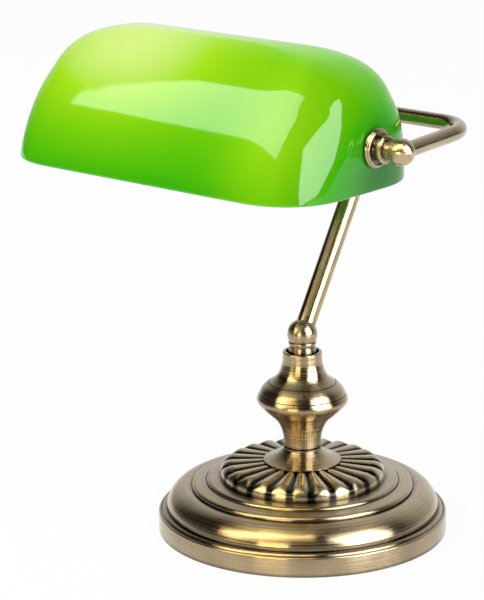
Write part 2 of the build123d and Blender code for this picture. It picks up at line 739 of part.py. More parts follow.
for side_name, side in sides:
    # Pivot ball: brazed on the arm's end, bored to take the bush and the head of the nipple.
    with BuildPart() as pivot_ball:
        with BuildSketch(pivot_plane(side)):
            with Locations((arm_x, 0)):
                Circle(pivot_ball_radius)
            with Locations((arm_x, -pivot_ball_radius)):
                Rectangle(4 * pivot_ball_radius, 2 * pivot_ball_radius, mode=Mode.SUBTRACT)
            with Locations((ball_face - pivot_ball_radius, 0)):
                Rectangle(2 * pivot_ball_radius, 4 * pivot_ball_radius, mode=Mode.SUBTRACT)
            with Locations((ball_face, 0)):
                Rectangle(
                    pivot_ball_flat + 3.0,
                    2 * chamber_radius,
                    align=(Align.MIN, Align.CENTER),
                    mode=Mode.SUBTRACT,
                )
        revolve(axis=pivot_axis)
        arm_plane = Plane(
            origin=(side * arm_x, arm_end_y, arm_end_z),
            z_dir=(0, arm_line[0], arm_line[1]),
        )
        with BuildSketch(arm_plane):
            Circle(bar_radius + joint_gap)
        extrude(amount=pivot_ball_radius, mode=Mode.SUBTRACT)
        with BuildSketch(arm_plane.offset(-arm_end)):
            Circle(nipple_bore)
        extrude(amount=arm_end, mode=Mode.SUBTRACT)
    save(pivot_ball, f"pivot_ball_{side_name}")

    # Bush: screwed into the ball, it is the bearing of the nipple and shows as a bright collar.
    with BuildPart() as pivot_bush:
        with BuildSketch(pivot_plane(side)):
            with BuildLine():
                Polyline(
                    (bush_face, nipple_radius + pin_gap),
                    (bush_face, bush_radius - 0.8),
                    (bush_face + 0.8, bush_radius),
                    (bush_neck - 0.8, bush_radius),
                    (bush_neck, bush_radius - 0.8),
                    (bush_neck, chamber_radius + 0.3),
                    (ball_face, chamber_radius + 0.3),
                    (ball_face, chamber_radius),
                    (bush_end, chamber_radius),
                    (bush_end, nipple_radius + pin_gap),
                    close=True,
                )
            make_face()
        revolve(axis=pivot_axis)
    save(pivot_bush, f"pivot_bush_{side_name}")

    # Nipple: hollow shaft with a head, held in the ball by the bush; the shade turns with it.
    tail = holder_seat - (jam_nut_thickness + nipple_tail)
    with BuildPart() as pivot_nipple:
        with BuildSketch(pivot_plane(side)):
            with BuildLine():
                Polyline(
                    (tail, nipple_bore),
                    (tail, nipple_radius - 0.4),
                    (tail + 0.4, nipple_radius),
                    (bush_end + run_gap, nipple_radius),
                    (bush_end + run_gap, nipple_head),
                    (bush_end + run_gap + head_thickness, nipple_head),
                    (bush_end + run_gap + head_thickness, nipple_bore),
                    close=True,
                )
            make_face()
        revolve(axis=pivot_axis)
    save(pivot_nipple, f"pivot_nipple_{side_name}")

    # Cup washer: dished brass washer with a raised rim on the outside of the glass.
    with BuildPart() as cup_washer:
        with BuildSketch(pivot_plane(side)):
            with BuildLine():
                inner = shade_half_length + glass_gap
                Polyline(
                    (inner + gasket_thickness, nipple_radius + thread_gap),
                    (inner + gasket_thickness, gasket_radius + 0.1),
                    (inner, gasket_radius + 0.1),
                    (inner, cup_washer_radius - 0.4),
                )
                edge = ThreePointArc(
                    (inner, cup_washer_radius - 0.4),
                    (inner + 0.4 * cup_washer_thickness, cup_washer_radius),
                    (inner + 0.7 * cup_washer_thickness, cup_washer_radius - 0.7),
                )
                rim_bead = ThreePointArc(
                    edge @ 1,
                    (washer_face, cup_washer_radius - 1.5),
                    (washer_face - 0.9, cup_washer_radius - 2.5),
                )
                Polyline(
                    rim_bead @ 1,
                    (washer_face - 1.1, locknut_radius + 0.6),
                    (washer_face, locknut_radius + 0.2),
                    (washer_face, nipple_radius + thread_gap),
                    (inner + gasket_thickness, nipple_radius + thread_gap),
                )
            make_face()
        revolve(axis=pivot_axis)
    save(cup_washer, f"cup_washer_{side_name}")

    # Rubber gasket between glass and cup washer.
    with BuildPart() as outer_gasket:
        with BuildSketch(pivot_plane(side)):
            with Locations((shade_half_length + glass_gap, nipple_radius + thread_gap)):
                Rectangle(
                    gasket_thickness,
                    gasket_radius - nipple_radius - thread_gap,
                    align=(Align.MIN, Align.MIN),
                )
        revolve(axis=pivot_axis)
    save(outer_gasket, f"outer_gasket_{side_name}")

    # Round locknut on the nipple, tight against the cup washer.
    with BuildPart() as locknut:
        with BuildSketch(pivot_plane(side)):
            with BuildLine():
                Polyline(
                    (washer_face, nipple_radius),
                    (washer_face, locknut_radius),
                    (locknut_face - 0.5, locknut_radius),
                    (locknut_face, locknut_radius - 0.5),
                    (locknut_face, nipple_radius),
                    close=True,
                )
            make_face()
        revolve(axis=pivot_axis)
    save(locknut, f"locknut_{side_name}")

    # Rubber gasket and steel washer inside the glass.
    with BuildPart() as inner_gasket:
        with BuildSketch(pivot_plane(side)):
            with Locations((inner_face, nipple_radius + thread_gap)):
                Rectangle(
                    gasket_thickness,
                    inner_washer_radius - nipple_radius,
                    align=(Align.MAX, Align.MIN),
                )
        revolve(axis=pivot_axis)
    save(inner_gasket, f"inner_gasket_{side_name}")

    with BuildPart() as inner_washer:
        with BuildSketch(pivot_plane(side)):
            with Locations((holder_seat, nipple_radius + thread_gap)):
                Rectangle(
                    inner_washer_thickness,
                    inner_washer_radius - nipple_radius,
                    align=(Align.MIN, Align.MIN),
                )
        revolve(axis=pivot_axis)
    save(inner_washer, f"inner_washer_{side_name}")

# Hex jam nut that holds the left end of the shade.
with BuildPart() as jam_nut:
    nut_plane = Plane(origin=(-holder_seat, pivot_y, pivot_z), z_dir=(1, 0, 0))
    with BuildSketch(nut_plane):
        RegularPolygon(radius=jam_nut_flats / 2, major_radius=False, side_count=6)
        Circle(nipple_radius, mode=Mode.SUBTRACT)
    extrude(amount=jam_nut_thickness)
save(jam_nut, "jam_nut")

# ================================================================ lampholder and bulb
right = pivot_plane(1)
cap_end = holder_seat - holder_cap_length
holder_end = holder_seat - holder_length
# Lampholder cap, screwed on the right nipple.
with BuildPart() as holder_cap:
    with BuildSketch(right):
        with BuildLine():
            Line((holder_seat, nipple_radius), (holder_seat, holder_neck_radius))
            dome_line = Spline(
                (holder_seat, holder_neck_radius),
                (holder_seat - 0.23 * holder_cap_length, 1.33 * holder_neck_radius),
                (holder_seat - 0.55 * holder_cap_length, 0.885 * holder_radius),
                (cap_end + holder_skirt, holder_radius),
                tangents=((-1, 0.1), (-1, 0)),
            )
            Polyline(
                dome_line @ 1,
                (cap_end, holder_radius),
                (cap_end, holder_radius - holder_wall),
                (cap_end + holder_skirt, holder_radius - holder_wall),
                (holder_seat - holder_neck_length - 1.5, 1.2 * holder_neck_radius),
                (holder_seat - holder_neck_length, nipple_radius),
                (holder_seat, nipple_radius),
            )
        make_face()
    revolve(axis=pivot_axis)
save(holder_cap, "holder_cap")

# Lampholder body with a rolled front edge.
with BuildPart() as holder_body:
    with BuildSketch(right):
        with BuildLine():
            Polyline(
                (cap_end, holder_radius - holder_wall),
                (cap_end, holder_radius - 0.4),
                (holder_end + 5, holder_radius - 0.4),
                (holder_end + 4, holder_flange),
                (holder_end + 1, holder_flange),
                (holder_end, holder_flange - 1.0),
                (holder_end, screw_shell_radius + 0.6),
                (holder_end + 3, screw_shell_radius + 0.6),
                (holder_end + 3, holder_radius - holder_wall),
                close=True,
            )
        make_face()
    revolve(axis=pivot_axis)
save(holder_body, "holder_body")

# Ceramic insert that carries the contacts.
insert_face = cap_end + 1.0
with BuildPart() as holder_insert:
    with BuildSketch(right):
        with Locations((insert_face, 0)):
            Rectangle(insert_thickness, holder_radius - holder_wall - 0.1, align=(Align.MAX, Align.MIN))
    revolve(axis=pivot_axis)
save(holder_insert, "holder_insert")

# Threaded screw shell of the holder.
shell_back = insert_face - insert_thickness
with BuildPart() as screw_shell:
    with BuildSketch(right):
        with BuildLine():
            Polyline(
                (shell_back, 8.0),
                (shell_back, screw_shell_radius),
                (shell_back - screw_shell_length, screw_shell_radius),
                (shell_back - screw_shell_length, screw_shell_radius - screw_shell_wall),
                (shell_back - screw_shell_wall, screw_shell_radius - screw_shell_wall),
                (shell_back - screw_shell_wall, 8.0),
                close=True,
            )
        make_face()
    revolve(axis=pivot_axis)
save(screw_shell, "screw_shell")

# Spring tongue that meets the tip of the bulb.
with BuildPart() as centre_contact:
    with BuildSketch(Plane(origin=(0, pivot_y, pivot_z), x_dir=(1, 0, 0), z_dir=(0, -1, 0)).offset(-2)):
        with BuildLine():
            Polyline(
                (shell_back, -5.5),
                (shell_back, -2.5),
                (shell_back - 2.2, 2.0),
                (shell_back - 2.7, 2.0),
                (shell_back - 0.6, -2.5),
                (shell_back - 0.6, -5.5),
                close=True,
            )
        make_face()
    extrude(amount=4)
save(centre_contact, "centre_contact")

# Bulb: screw cap with insulator and tip, and a tubular glass envelope.
cap_back = shell_back - 4.6
bulb_end = cap_back - bulb_length
envelope_start = cap_back - bulb_cap_length
with BuildPart() as bulb_cap:
    with BuildSketch(right):
        with BuildLine():
            Polyline(
                (cap_back + bulb_tip_height, 0),
                (cap_back + bulb_tip_height, bulb_tip_radius),
                (cap_back, bulb_insulator_radius),
                (cap_back - 0.4 * bulb_cap_taper, bulb_cap_radius - 1.5),
                (cap_back - bulb_cap_taper, bulb_cap_radius),
                (envelope_start, bulb_cap_radius),
                (envelope_start, 0),
                close=True,
            )
        make_face()
    revolve(axis=pivot_axis)
save(bulb_cap, "bulb_cap")

with BuildPart() as bulb_glass:
    with BuildSketch(right):
        with BuildLine():
            Line((envelope_start, 0), (envelope_start, bulb_cap_radius - 0.4))
            neck_line = Spline(
                (envelope_start, bulb_cap_radius - 0.4),
                (envelope_start - 5, bulb_cap_radius + 0.5),
                (envelope_start - 12, bulb_radius),
                tangents=((-1, 0), (-1, 0)),
            )
            tube_line = Line(neck_line @ 1, (bulb_end + bulb_radius, bulb_radius))
            RadiusArc(tube_line @ 1, (bulb_end, 0), -bulb_radius)
            Line((bulb_end, 0), (envelope_start, 0))
        make_face()
    revolve(axis=pivot_axis)
save(bulb_glass, "bulb_glass")

# ================================================================ shade
section_levels = (0.0, 0.22, 0.45, 0.68, 0.85, 0.95, 0.985, 0.997)


def reach(size, power, level):
    """Half width of the glass at a share of its height, on a superellipse."""
    return size * (1 - level**power) ** (1 / power)


def shade_section(inset, level):
    """One level of the shade: half length, front and rear reach and corner radius."""
    half_length = reach(shade_half_length - inset, length_power, level)
    front = reach(shade_front - inset, front_power, level)
    rear = reach(shade_rear - inset, rear_power, level)
    corner = min(shade_corner - inset, 0.49 * (front + rear))
    return half_length, front, rear, corner


with BuildPart() as shade_core:
    for level in section_levels:
        height = (shade_height - glass_wall) * level
        half_length, front, rear, corner = shade_section(glass_wall, level)
        with BuildSketch(Plane.XY.offset(rim_z + height)):
            with Locations((0, crest_y + (rear - front) / 2)):
                RectangleRounded(2 * half_length, front + rear, corner)
    loft()

# Cased glass shade: one blown shell, open underneath, with a pivot hole in each end.
with BuildPart() as glass_shade:
    for level in section_levels:
        half_length, front, rear, corner = shade_section(0, level)
        with BuildSketch(Plane.XY.offset(rim_z + shade_height * level)):
            with Locations((0, crest_y + (rear - front) / 2)):
                RectangleRounded(2 * half_length, front + rear, corner)
    loft()
    add(shade_core.part, mode=Mode.SUBTRACT)
    with BuildSketch(Plane.YZ.offset(-2 * shade_half_length)):
        with Locations((pivot_y, pivot_z)):
            Circle(nipple_radius + hole_gap)
    extrude(amount=4 * shade_half_length, mode=Mode.SUBTRACT)
save(glass_shade, "glass_shade")
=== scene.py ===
import math

import bpy
from mathutils import Matrix, Vector


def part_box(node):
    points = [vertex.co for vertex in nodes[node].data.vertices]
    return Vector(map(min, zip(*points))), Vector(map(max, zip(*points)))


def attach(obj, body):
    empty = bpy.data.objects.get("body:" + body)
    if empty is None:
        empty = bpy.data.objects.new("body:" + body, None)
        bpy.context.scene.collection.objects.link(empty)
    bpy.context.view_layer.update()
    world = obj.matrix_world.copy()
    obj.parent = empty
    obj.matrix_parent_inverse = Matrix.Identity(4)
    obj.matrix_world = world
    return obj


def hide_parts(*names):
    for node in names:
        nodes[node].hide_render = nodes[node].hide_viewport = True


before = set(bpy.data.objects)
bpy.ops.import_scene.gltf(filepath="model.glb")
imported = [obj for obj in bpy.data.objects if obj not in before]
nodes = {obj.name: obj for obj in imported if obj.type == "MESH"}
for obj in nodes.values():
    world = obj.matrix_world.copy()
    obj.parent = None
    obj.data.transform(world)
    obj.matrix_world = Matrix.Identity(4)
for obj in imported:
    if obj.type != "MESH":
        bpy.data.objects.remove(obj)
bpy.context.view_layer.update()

scene = bpy.context.scene


# ---------------------------------------------------------------- studio
# A white table in white air. The lamp stands alone on it, so the table runs past the edges of the view.
# The table keeps the lamp's shadow: a part of its white is its own light, the rest is what falls on it.
def linear(hex_colour):
    """An sRGB hex colour as linear red, green, blue and alpha."""
    channels = [int(hex_colour[i:i + 2], 16) / 255 for i in (1, 3, 5)]
    return [c / 12.92 if c <= 0.04045 else ((c + 0.055) / 1.055) ** 2.4 for c in channels] + [1.0]


def add_node(tree, kind, settings=None, links=None):
    """Add a node, set its properties or sockets, and link other nodes' outputs to its sockets."""
    node = tree.nodes.new(kind)
    for name, value in (settings or {}).items():
        if isinstance(name, str) and name in node.bl_rna.properties:
            setattr(node, name, value)
        else:
            node.inputs[name].default_value = value
    for socket, source in (links or {}).items():
        tree.links.new(source, node.inputs[socket])
    return node


def start_material(name):
    """A material with an empty node tree and its output."""
    material = bpy.data.materials.new(name)
    material.use_nodes = True
    tree = material.node_tree
    tree.nodes.clear()
    return material, tree, tree.nodes.new("ShaderNodeOutputMaterial")


def seen_directly(tree):
    """1 where the camera sees a surface, straight or in metal or glass."""
    path = add_node(tree, "ShaderNodeLightPath")
    mirrored = add_node(
        tree, "ShaderNodeMath", {"operation": "MAXIMUM"},
        {0: path.outputs["Is Camera Ray"], 1: path.outputs["Is Glossy Ray"]},
    )
    return add_node(
        tree, "ShaderNodeMath", {"operation": "MAXIMUM"},
        {0: mirrored.outputs[0], 1: path.outputs["Is Transmission Ray"]},
    )


white_table, tree, output = start_material("white_laminate_table")
laminate = add_node(tree, "ShaderNodeBsdfDiffuse", {"Color": linear("#f2f2f2")})
own_white = add_node(tree, "ShaderNodeEmission", {"Color": (1, 1, 1, 1), "Strength": 1.0})
own_share = add_node(
    tree, "ShaderNodeMath", {"operation": "MULTIPLY", 1: 0.93},
    {0: seen_directly(tree).outputs[0]},
)
table_surface = add_node(
    tree, "ShaderNodeMixShader", {},
    {0: own_share.outputs[0], 1: laminate.outputs[0], 2: own_white.outputs[0]},
)
tree.links.new(table_surface.outputs[0], output.inputs["Surface"])

table_radius = 4.5
bpy.ops.mesh.primitive_circle_add(vertices=96, radius=table_radius, fill_type="NGON")
table = bpy.context.object
table.name = "table"
table.data.materials.append(white_table)

world = bpy.data.worlds.new("white_air")
scene.world = world
world.use_nodes = True
tree = world.node_tree
tree.nodes.clear()
world_output = tree.nodes.new("ShaderNodeOutputWorld")
white_air = add_node(tree, "ShaderNodeBackground", {"Color": (1, 1, 1, 1), "Strength": 1.0})
dim_air = add_node(tree, "ShaderNodeBackground", {"Color": (1, 1, 1, 1), "Strength": 0.64})
air = add_node(
    tree, "ShaderNodeMixShader", {},
    {0: seen_directly(tree).outputs[0], 1: dim_air.outputs[0], 2: white_air.outputs[0]},
)
tree.links.new(air.outputs[0], world_output.inputs["Surface"])


def aim(thing, place, target, roll=0.0):
    """Put a thing at a place with its -Z towards the target."""
    thing.location = Vector(place)
    turn = (Vector(target) - Vector(place)).to_track_quat("-Z", "Y")
    thing.rotation_mode = "QUATERNION"
    thing.rotation_quaternion = turn @ Matrix.Rotation(roll, 4, "Z").to_quaternion()


def softbox(name, place, target, width, height, radiance, roll, mirrored):
    """A rectangular studio light of even brightness, either mirrored by gloss or lighting matt surfaces."""
    lamp = bpy.data.lights.new(name, "AREA")
    lamp.shape = "RECTANGLE"
    lamp.size = width
    lamp.size_y = height
    lamp.energy = radiance * math.pi * width * height
    box = bpy.data.objects.new(name, lamp)
    scene.collection.objects.link(box)
    aim(box, place, target, math.radians(roll))
    box.visible_camera = False
    box.visible_diffuse = not mirrored
    box.visible_glossy = mirrored
    return box


# Each softbox has one light that only gloss mirrors and a weaker one in its place for matt surfaces, so that
# its bright face in the gloss doesn't overlight the rest. A search moved the two that the glass mirrors until
# their images lay right on it, which is why their numbers aren't round. The brass mirrors three of its own.
glass_alone = bpy.data.collections.new("glass_alone")
all_but_glass = bpy.data.collections.new("all_but_glass")
for mirrored, bright_left, bright_right in ((True, 4.2, 6.0), (False, 3.7, 1.85)):
    boxes = (
        softbox(f"left_softbox_{mirrored}", (-0.692, -0.841, 1.457), (-1.081, 0.248, 0.352),
                1.662, 0.671, bright_left, -24.4, mirrored),
        softbox(f"right_softbox_{mirrored}", (1.457, -0.299, 0.862), (-0.015, 0.147, 0.42),
                1.458, 1.466, bright_right, 13.4, mirrored),
    )
    if mirrored:
        for box in boxes:
            box.light_linking.receiver_collection = glass_alone
for box in (
    softbox("left_softbox_brass", (-0.13, -1.09, 1.45), (0.0, 0.0, 0.05), 2.3, 0.8, 6.5, 48.6, True),
    softbox("front_strip_brass", (0.42, -1.543, 0.34), (0.0, 0.0, 0.12), 0.7, 0.4, 8.0, 0.0, True),
    softbox("right_softbox_brass", (1.485, 0.088, 0.862), (-0.053, 0.138, 0.420),
            1.3, 1.466, 7.0, 13.4, True),
):
    box.light_linking.receiver_collection = all_but_glass
# The left one and the strip are warm, so the brass shows gold on the left and white on the right.
bpy.data.lights["left_softbox_brass"].color = (1.0, 0.84, 0.5)
bpy.data.lights["front_strip_brass"].color = (1.0, 0.8, 0.42)

# A felt tent stands round the table, dark in front and at the sides and pale only at the back. Metal and glass
# mirror it in place of the white air, which gives them their dark and light sides.
tent_radius = 2.7
tent_felt, tree, output = start_material("tent_felt_dyed")
place = add_node(tree, "ShaderNodeTexCoord")
towards_camera = add_node(
    tree, "ShaderNodeVectorMath", {"operation": "DOT_PRODUCT", 1: (0.363, -0.899, -0.25)},
    {0: place.outputs["Object"]},
)
dye = add_node(
    tree, "ShaderNodeMapRange", {"From Min": -2.6, "From Max": -1.1}, {"Value": towards_camera.outputs["Value"]},
)
shades = add_node(tree, "ShaderNodeValToRGB", {}, {"Fac": dye.outputs["Result"]})
shades.color_ramp.elements[0].color = linear("#e0e0e0")
shades.color_ramp.elements[1].color = linear("#1c1c1c")
felt = add_node(tree, "ShaderNodeEmission", {"Strength": 1.1}, {"Color": shades.outputs["Color"]})
tree.links.new(felt.outputs[0], output.inputs["Surface"])
bpy.ops.mesh.primitive_uv_sphere_add(segments=64, ring_count=32, radius=tent_radius)
tent = bpy.context.object
tent.name = "tent"
tent.data.materials.append(tent_felt)
tent.visible_camera = False
tent.visible_diffuse = False
tent.visible_shadow = False

# The camera stands to the lamp's right front, a little above it, with a long lens. A solver found its place
# from the lamp's own circles and edges.
camera_place = (0.9701, -1.2046, 0.5805)
camera_target = (0.0, -0.0574, 0.1598)
camera_roll = -0.37    # degrees
camera_data = bpy.data.cameras.new("camera")
camera_data.lens = 156.9
camera = bpy.data.objects.new("camera", camera_data)
aim(camera, camera_place, camera_target, math.radians(camera_roll))
scene.collection.objects.link(camera)
scene.camera = camera
scene.view_settings.view_transform = "Standard"


# ---------------------------------------------------------------- foot of the base
# A felt disc glued under a pressed steel plate, which closes the base from below. On the plate lies the
# cast weight that keeps the lamp from tipping, and a nylon gland in the back of the plinth takes the cord.
def dress(material, *names):
    """Give CAD nodes their material."""
    for name in names:
        node = nodes[name]
        node.data.materials.clear()
        node.data.materials.append(material)


# Wool felt: short fibres lie in all directions, so the surface is matt, cloudy and slightly furry.
green_felt, tree, output = start_material("wool_felt_pressed")
place = add_node(tree, "ShaderNodeTexCoord")
fibres = add_node(tree, "ShaderNodeTexNoise", {"Scale": 900.0, "Detail": 4.0}, {"Vector": place.outputs["Object"]})
clouds = add_node(tree, "ShaderNodeTexNoise", {"Scale": 60.0, "Detail": 2.0}, {"Vector": place.outputs["Object"]})
felt_tone = add_node(
    tree, "ShaderNodeMix",
    {"data_type": "RGBA", "A": linear("#16321f"), "B": linear("#2b5236")},
    {"Factor": clouds.outputs["Fac"]},
)
felt_relief = add_node(
    tree, "ShaderNodeBump", {"Strength": 0.6, "Distance": 0.0004}, {"Height": fibres.outputs["Fac"]},
)
felt = add_node(
    tree, "ShaderNodeBsdfPrincipled", {"Roughness": 0.95, "Sheen Weight": 0.4, "Sheen Roughness": 0.5},
    {"Base Color": felt_tone.outputs["Result"], "Normal": felt_relief.outputs["Normal"]},
)
tree.links.new(felt.outputs[0], output.inputs["Surface"])
dress(green_felt, "felt_pad")

# Zinc-plated steel, pressed or turned: cool grey, with a fine spangle of crystals and a low sheen.
zinc_steel, tree, output = start_material("zinc_plated_steel")
place = add_node(tree, "ShaderNodeTexCoord")
spangle = add_node(tree, "ShaderNodeTexVoronoi", {"Scale": 700.0}, {"Vector": place.outputs["Object"]})
zinc_tone = add_node(
    tree, "ShaderNodeMix",
    {"data_type": "RGBA", "A": linear("#9c9da0"), "B": linear("#c4c5c8")},
    {"Factor": spangle.outputs["Distance"]},
)
zinc_gloss = add_node(
    tree, "ShaderNodeMapRange", {"To Min": 0.28, "To Max": 0.45}, {"Value": spangle.outputs["Distance"]},
)
zinc = add_node(
    tree, "ShaderNodeBsdfPrincipled", {"Metallic": 1.0},
    {"Base Color": zinc_tone.outputs["Result"], "Roughness": zinc_gloss.outputs["Result"]},
)
tree.links.new(zinc.outputs[0], output.inputs["Surface"])
dress(zinc_steel, "bottom_plate", "pipe_washer", "pipe_nut", "lamp_pipe", "stud_nut")

# Sand-cast iron: the sand leaves grains of about half a millimetre in a dull dark grey skin.
cast_iron, tree, output = start_material("cast_iron_sand_skin")
place = add_node(tree, "ShaderNodeTexCoord")
grains = add_node(
    tree, "ShaderNodeTexNoise", {"Scale": 1500.0, "Detail": 3.0}, {"Vector": place.outputs["Object"]},
)
iron_tone = add_node(
    tree, "ShaderNodeMix",
    {"data_type": "RGBA", "A": linear("#2e2d2c"), "B": linear("#4b4845")},
    {"Factor": grains.outputs["Fac"]},
)
iron_relief = add_node(
    tree, "ShaderNodeBump", {"Strength": 0.8, "Distance": 0.0003}, {"Height": grains.outputs["Fac"]},
)
iron = add_node(
    tree, "ShaderNodeBsdfPrincipled", {"Metallic": 0.6, "Roughness": 0.7},
    {"Base Color": iron_tone.outputs["Result"], "Normal": iron_relief.outputs["Normal"]},
)
tree.links.new(iron.outputs[0], output.inputs["Surface"])
dress(cast_iron, "base_weight")


def moulded(name, dark, light, roughness, grain, ior=1.5):
    """A moulded black or cream material: nearly even colour with a fine skin."""
    material, tree, output = start_material(name)
    place = add_node(tree, "ShaderNodeTexCoord")
    skin = add_node(
        tree, "ShaderNodeTexNoise", {"Scale": grain, "Detail": 3.0}, {"Vector": place.outputs["Object"]},
    )
    tone = add_node(
        tree, "ShaderNodeMix", {"data_type": "RGBA", "A": linear(dark), "B": linear(light)},
        {"Factor": skin.outputs["Fac"]},
    )
    relief = add_node(
        tree, "ShaderNodeBump", {"Strength": 0.3, "Distance": 0.00005}, {"Height": skin.outputs["Fac"]},
    )
    body = add_node(
        tree, "ShaderNodeBsdfPrincipled", {"Roughness": roughness, "IOR": ior},
        {"Base Color": tone.outputs["Result"], "Normal": relief.outputs["Normal"]},
    )
    tree.links.new(body.outputs[0], output.inputs["Surface"])
    return material


# Black nylon, moulded with a spark-eroded skin: dull, with grains of about 0.3 mm.
dress(moulded("nylon_black_moulded", "#141414", "#242424", 0.5, 3000.0, 1.53), "cord_gland")


# ---------------------------------------------------------------- base cover and column
# A thin brass cover spun over a form, with a bead and two grooves turned into it. On its deck stand the
# fluted collar, the flare, the cup and the bell, turned from solid brass and clamped by the lamp pipe.
def turned_brass(name, bright, brown, rings_per_mm, shine, axis="Z", centre=(0.0, 0.0, 0.0), reach=0.004,
                 bare=(0.4, 0.9), valleys=0):
    """Brass turned about an axis and brushed in rings, then browned, rubbed back and lacquered."""
    material, tree, output = start_material(name)
    across = (1.0, 1.0, 0.0) if axis == "Z" else (0.0, 1.0, 1.0)
    place = add_node(tree, "ShaderNodeTexCoord")
    from_axis = add_node(
        tree, "ShaderNodeVectorMath", {"operation": "SUBTRACT", 1: centre}, {0: place.outputs["Object"]},
    )
    sideways = add_node(
        tree, "ShaderNodeVectorMath", {"operation": "MULTIPLY", 1: across}, {0: from_axis.outputs[0]},
    )
    radius = add_node(
        tree, "ShaderNodeVectorMath", {"operation": "LENGTH"}, {0: sideways.outputs[0]},
    )
    split = add_node(tree, "ShaderNodeSeparateXYZ", {}, {0: from_axis.outputs[0]})
    ring_place = add_node(
        tree, "ShaderNodeCombineXYZ", {}, {"X": radius.outputs["Value"], "Y": split.outputs[axis]},
    )
    # The rings are really about 0.1 mm apart. Drawn that fine they vanish, so they are coarser here.
    rings = add_node(
        tree, "ShaderNodeTexNoise",
        {"noise_dimensions": "2D", "Scale": 1000.0 * rings_per_mm, "Detail": 3.0, "Roughness": 0.6},
        {"Vector": ring_place.outputs[0]},
    )
    # Rubbing back leaves clouds of brown, a finger's width across.
    clouds = add_node(
        tree, "ShaderNodeTexNoise", {"Scale": 55.0, "Detail": 3.0}, {"Vector": place.outputs["Object"]},
    )
    hollows = add_node(
        tree, "ShaderNodeAmbientOcclusion", {"samples": 8, "Distance": reach, "Color": (1, 1, 1, 1)},
    )
    rubbed = add_node(
        tree, "ShaderNodeMapRange", {"From Min": bare[0], "From Max": bare[1]}, {"Value": hollows.outputs["AO"]},
    )
    streaks = add_node(
        tree, "ShaderNodeMapRange", {"From Min": 0.25, "From Max": 0.75, "To Min": 0.7, "To Max": 1.12},
        {"Value": rings.outputs["Fac"]},
    )
    cloudy = add_node(
        tree, "ShaderNodeMapRange", {"From Min": 0.3, "From Max": 0.7, "To Min": 0.82, "To Max": 1.05},
        {"Value": clouds.outputs["Fac"]},
    )
    patchy = add_node(
        tree, "ShaderNodeMath", {"operation": "MULTIPLY"},
        {0: streaks.outputs["Result"], 1: cloudy.outputs["Result"]},
    )
    bared = add_node(
        tree, "ShaderNodeMath", {"operation": "MULTIPLY", "use_clamp": True},
        {0: patchy.outputs[0], 1: rubbed.outputs["Result"]},
    )
    if valleys:
        # The cloth never reaches the bottom of a valley, so the brown stays there and turns nearly black.
        bearing = add_node(
            tree, "ShaderNodeMath", {"operation": "ARCTAN2"}, {0: split.outputs["Y"], 1: split.outputs["X"]},
        )
        turns = add_node(
            tree, "ShaderNodeMath", {"operation": "MULTIPLY", 1: float(valleys)}, {0: bearing.outputs[0]},
        )
        depth = add_node(tree, "ShaderNodeMath", {"operation": "COSINE"}, {0: turns.outputs[0]})
        crest = add_node(
            tree, "ShaderNodeMapRange",
            {"interpolation_type": "SMOOTHSTEP", "From Min": -0.15, "From Max": 0.85,
             "To Min": 1.0, "To Max": 0.0},
            {"Value": depth.outputs[0]},
        )
        bared = add_node(
            tree, "ShaderNodeMath", {"operation": "MULTIPLY", "use_clamp": True},
            {0: bared.outputs[0], 1: crest.outputs["Result"]},
        )
    tone = add_node(
        tree, "ShaderNodeMix", {"data_type": "RGBA", "A": linear(brown), "B": linear(bright)},
        {"Factor": bared.outputs[0]},
    )
    gloss = add_node(
        tree, "ShaderNodeMapRange",
        {"From Min": 0.3, "From Max": 0.7, "To Min": shine, "To Max": shine + 0.1},
        {"Value": rings.outputs["Fac"]},
    )
    relief = add_node(
        tree, "ShaderNodeBump", {"Strength": 0.25, "Distance": 0.00006}, {"Height": rings.outputs["Fac"]},
    )
    grain = add_node(tree, "ShaderNodeTangent", {"direction_type": "RADIAL", "axis": axis})
    metal = add_node(
        tree, "ShaderNodeBsdfPrincipled",
        {"Metallic": 1.0, "Anisotropic": 0.95, "Anisotropic Rotation": 0.25,
         "Coat Weight": 0.5, "Coat Roughness": 0.12},
        {"Base Color": tone.outputs["Result"], "Roughness": gloss.outputs["Result"],
         "Normal": relief.outputs["Normal"], "Tangent": grain.outputs["Tangent"]},
    )
    tree.links.new(metal.outputs[0], output.inputs["Surface"])
    return material


# Spun and turned brass, browned and lacquered: highlights run across the rings, and the grooves stay black.
aged_brass = turned_brass("antiqued_brass_spun", "#b9a582", "#140d06", 1.1, 0.19, bare=(0.5, 0.92))
dress(aged_brass, "foot_flare", "column_cup", "column_bell")

# The spun cover seen close: a bead at the dome's foot, and two bands that turn down in a tight round shoulder
# to a black line each, where the brown was left when the brass was rubbed back.
cover_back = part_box("base_cover")[1].y


def arc(start, middle, end, steps):
    """Points of the arc through three points, without its start."""
    (x1, y1), (x2, y2), (x3, y3) = start, middle, end
    twice = 2 * (x1 * (y2 - y3) + x2 * (y3 - y1) + x3 * (y1 - y2))
    a, b, c = x1**2 + y1**2, x2**2 + y2**2, x3**2 + y3**2
    x = (a * (y2 - y3) + b * (y3 - y1) + c * (y1 - y2)) / twice
    y = (a * (x3 - x2) + b * (x1 - x3) + c * (x2 - x1)) / twice
    first, last = math.atan2(y1 - y, x1 - x), math.atan2(y3 - y, x3 - x)
    size = math.hypot(x1 - x, y1 - y)
    turns = [first + (last - first) * step / steps for step in range(1, steps + 1)]
    return [(x + size * math.cos(turn), y + size * math.sin(turn)) for turn in turns]


